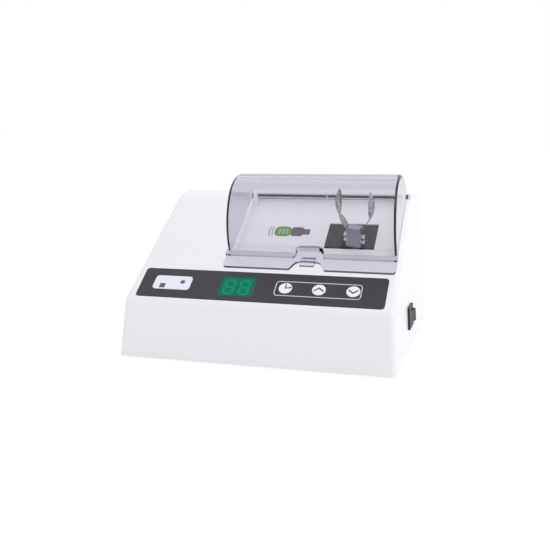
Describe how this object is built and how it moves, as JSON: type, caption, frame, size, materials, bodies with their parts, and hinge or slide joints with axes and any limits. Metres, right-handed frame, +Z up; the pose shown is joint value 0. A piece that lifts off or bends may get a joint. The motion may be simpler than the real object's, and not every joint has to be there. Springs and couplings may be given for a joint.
{
  "type": "dental amalgamator",
  "caption": "Bench-top dental capsule mixer: wedge-shaped white housing, smoky hinged hood over an oscillating capsule fork, dark control strip with green display, side rocker switch.",
  "frame": {"origin": "on the table, below the middle of the whole object", "axes": "+Z up, front with the control strip towards -Y, power switch on the +X side"},
  "size_m": [0.276, 0.2629, 0.1765],
  "materials": {
    "housing_white": "moulded white, glossy",
    "base_grey": "moulded pale grey",
    "foot_rubber": "black rubber",
    "screw_steel": "plain steel",
    "pin_steel": "ground steel",
    "seal_rubber": "black rubber",
    "lid_smoke": "clear smoky acrylic",
    "overlay_grey": "printed dark grey film",
    "window_green": "dark green filter",
    "key_pale": "pale grey keys",
    "board_green": "circuit board",
    "part_black": "black plastic",
    "rocker_black": "black plastic",
    "contact_brass": "plated contacts",
    "core_iron": "laminated core",
    "fuse_glass": "glass tube",
    "motor_paint": "painted motor can",
    "bracket_zinc": "zinc plated sheet",
    "shaft_steel": "turned steel",
    "fan_nylon": "white nylon",
    "guide_nylon": "natural nylon",
    "arm_alloy": "machined alloy",
    "jaw_steel": "bright spring steel"
  },
  "bodies": {
    "housing": {"upper_housing": "housing_white", "base_plate": "base_grey", "rubber_feet": "foot_rubber", "base_screws": "screw_steel", "seal_plate": "seal_rubber", "hinge_pins": "pin_steel", "interlock_switch": "part_black", "control_overlay": "overlay_grey", "display_window": "window_green", "control_board": "board_green", "board_screws": "screw_steel", "led_display": "part_black", "tact_switches": "part_black", "switch_body": "part_black", "mains_inlet": "part_black", "inlet_pins": "contact_brass", "inlet_screws": "screw_steel", "power_board": "board_green", "transformer": "core_iron", "motor_relay": "part_black", "fuse": "fuse_glass", "motor_case": "motor_paint", "motor_bracket": "bracket_zinc", "motor_screws": "screw_steel", "bracket_dampers": "foot_rubber", "arm_guide": "guide_nylon"},
    "lid": {"lid_hood": "lid_smoke"},
    "lid_plunger": {"interlock_plunger": "fan_nylon"},
    "stop_button": {"stop_key": "key_pale"},
    "set_button": {"set_key": "key_pale"},
    "up_button": {"up_key": "key_pale"},
    "down_button": {"down_key": "key_pale"},
    "power_rocker": {"switch_rocker": "rocker_black"},
    "rotor": {"motor_shaft": "shaft_steel", "wobble_hub": "shaft_steel", "hub_bearing": "pin_steel", "hub_screw": "screw_steel", "motor_fan": "fan_nylon"},
    "arm": {"oscillating_arm": "arm_alloy", "arm_head": "arm_alloy", "left_jaw": "jaw_steel", "right_jaw": "jaw_steel", "jaw_screws": "screw_steel"}
  },
  "joints": [
    {"name": "lid_hinge", "type": "hinge", "parent": "housing", "child": "lid", "pos_m": [0.04061, 0.00489, 0.1519], "axis": [-1, 0, 0], "range_deg": [0, 95]},
    {"name": "lid_plunger_slide", "type": "slide", "parent": "housing", "child": "lid_plunger", "axis": [0, -0.5948, 0.8039], "range_m": [0, 0.0012]},
    {"name": "stop_press", "type": "slide", "parent": "housing", "child": "stop_button", "axis": [0, 0.5948, -0.8039], "range_m": [0, 0.0006], "stiffness_N_per_m": 900, "springref_m": -0.0005},
    {"name": "set_press", "type": "slide", "parent": "housing", "child": "set_button", "axis": [0, 0.5948, -0.8039], "range_m": [0, 0.0006], "stiffness_N_per_m": 900, "springref_m": -0.0005},
    {"name": "up_press", "type": "slide", "parent": "housing", "child": "up_button", "axis": [0, 0.5948, -0.8039], "range_m": [0, 0.0006], "stiffness_N_per_m": 900, "springref_m": -0.0005},
    {"name": "down_press", "type": "slide", "parent": "housing", "child": "down_button", "axis": [0, 0.5948, -0.8039], "range_m": [0, 0.0006], "stiffness_N_per_m": 900, "springref_m": -0.0005},
    {"name": "power_toggle", "type": "hinge", "parent": "housing", "child": "power_rocker", "pos_m": [0.13279, -0.02139, 0.0333], "axis": [-0.0593, 0, 0.9982], "range_deg": [0, 20]},
    {"name": "rotor_spin", "type": "hinge", "parent": "housing", "child": "rotor", "pos_m": [0.07659, -0.02254, 0.0576], "axis": [1, 0, 0], "continuous": true},
    {"name": "arm_swing", "type": "hinge", "parent": "housing", "child": "arm", "pos_m": [0.07659, -0.02254, 0.0576], "axis": [0, -0.9397, -0.342], "range_deg": [0, 6]}
  ],
  "couplings": [
    {"joint": "lid_plunger_slide", "follows": "lid_hinge", "m_per_rad": 0.000723}
  ]
}
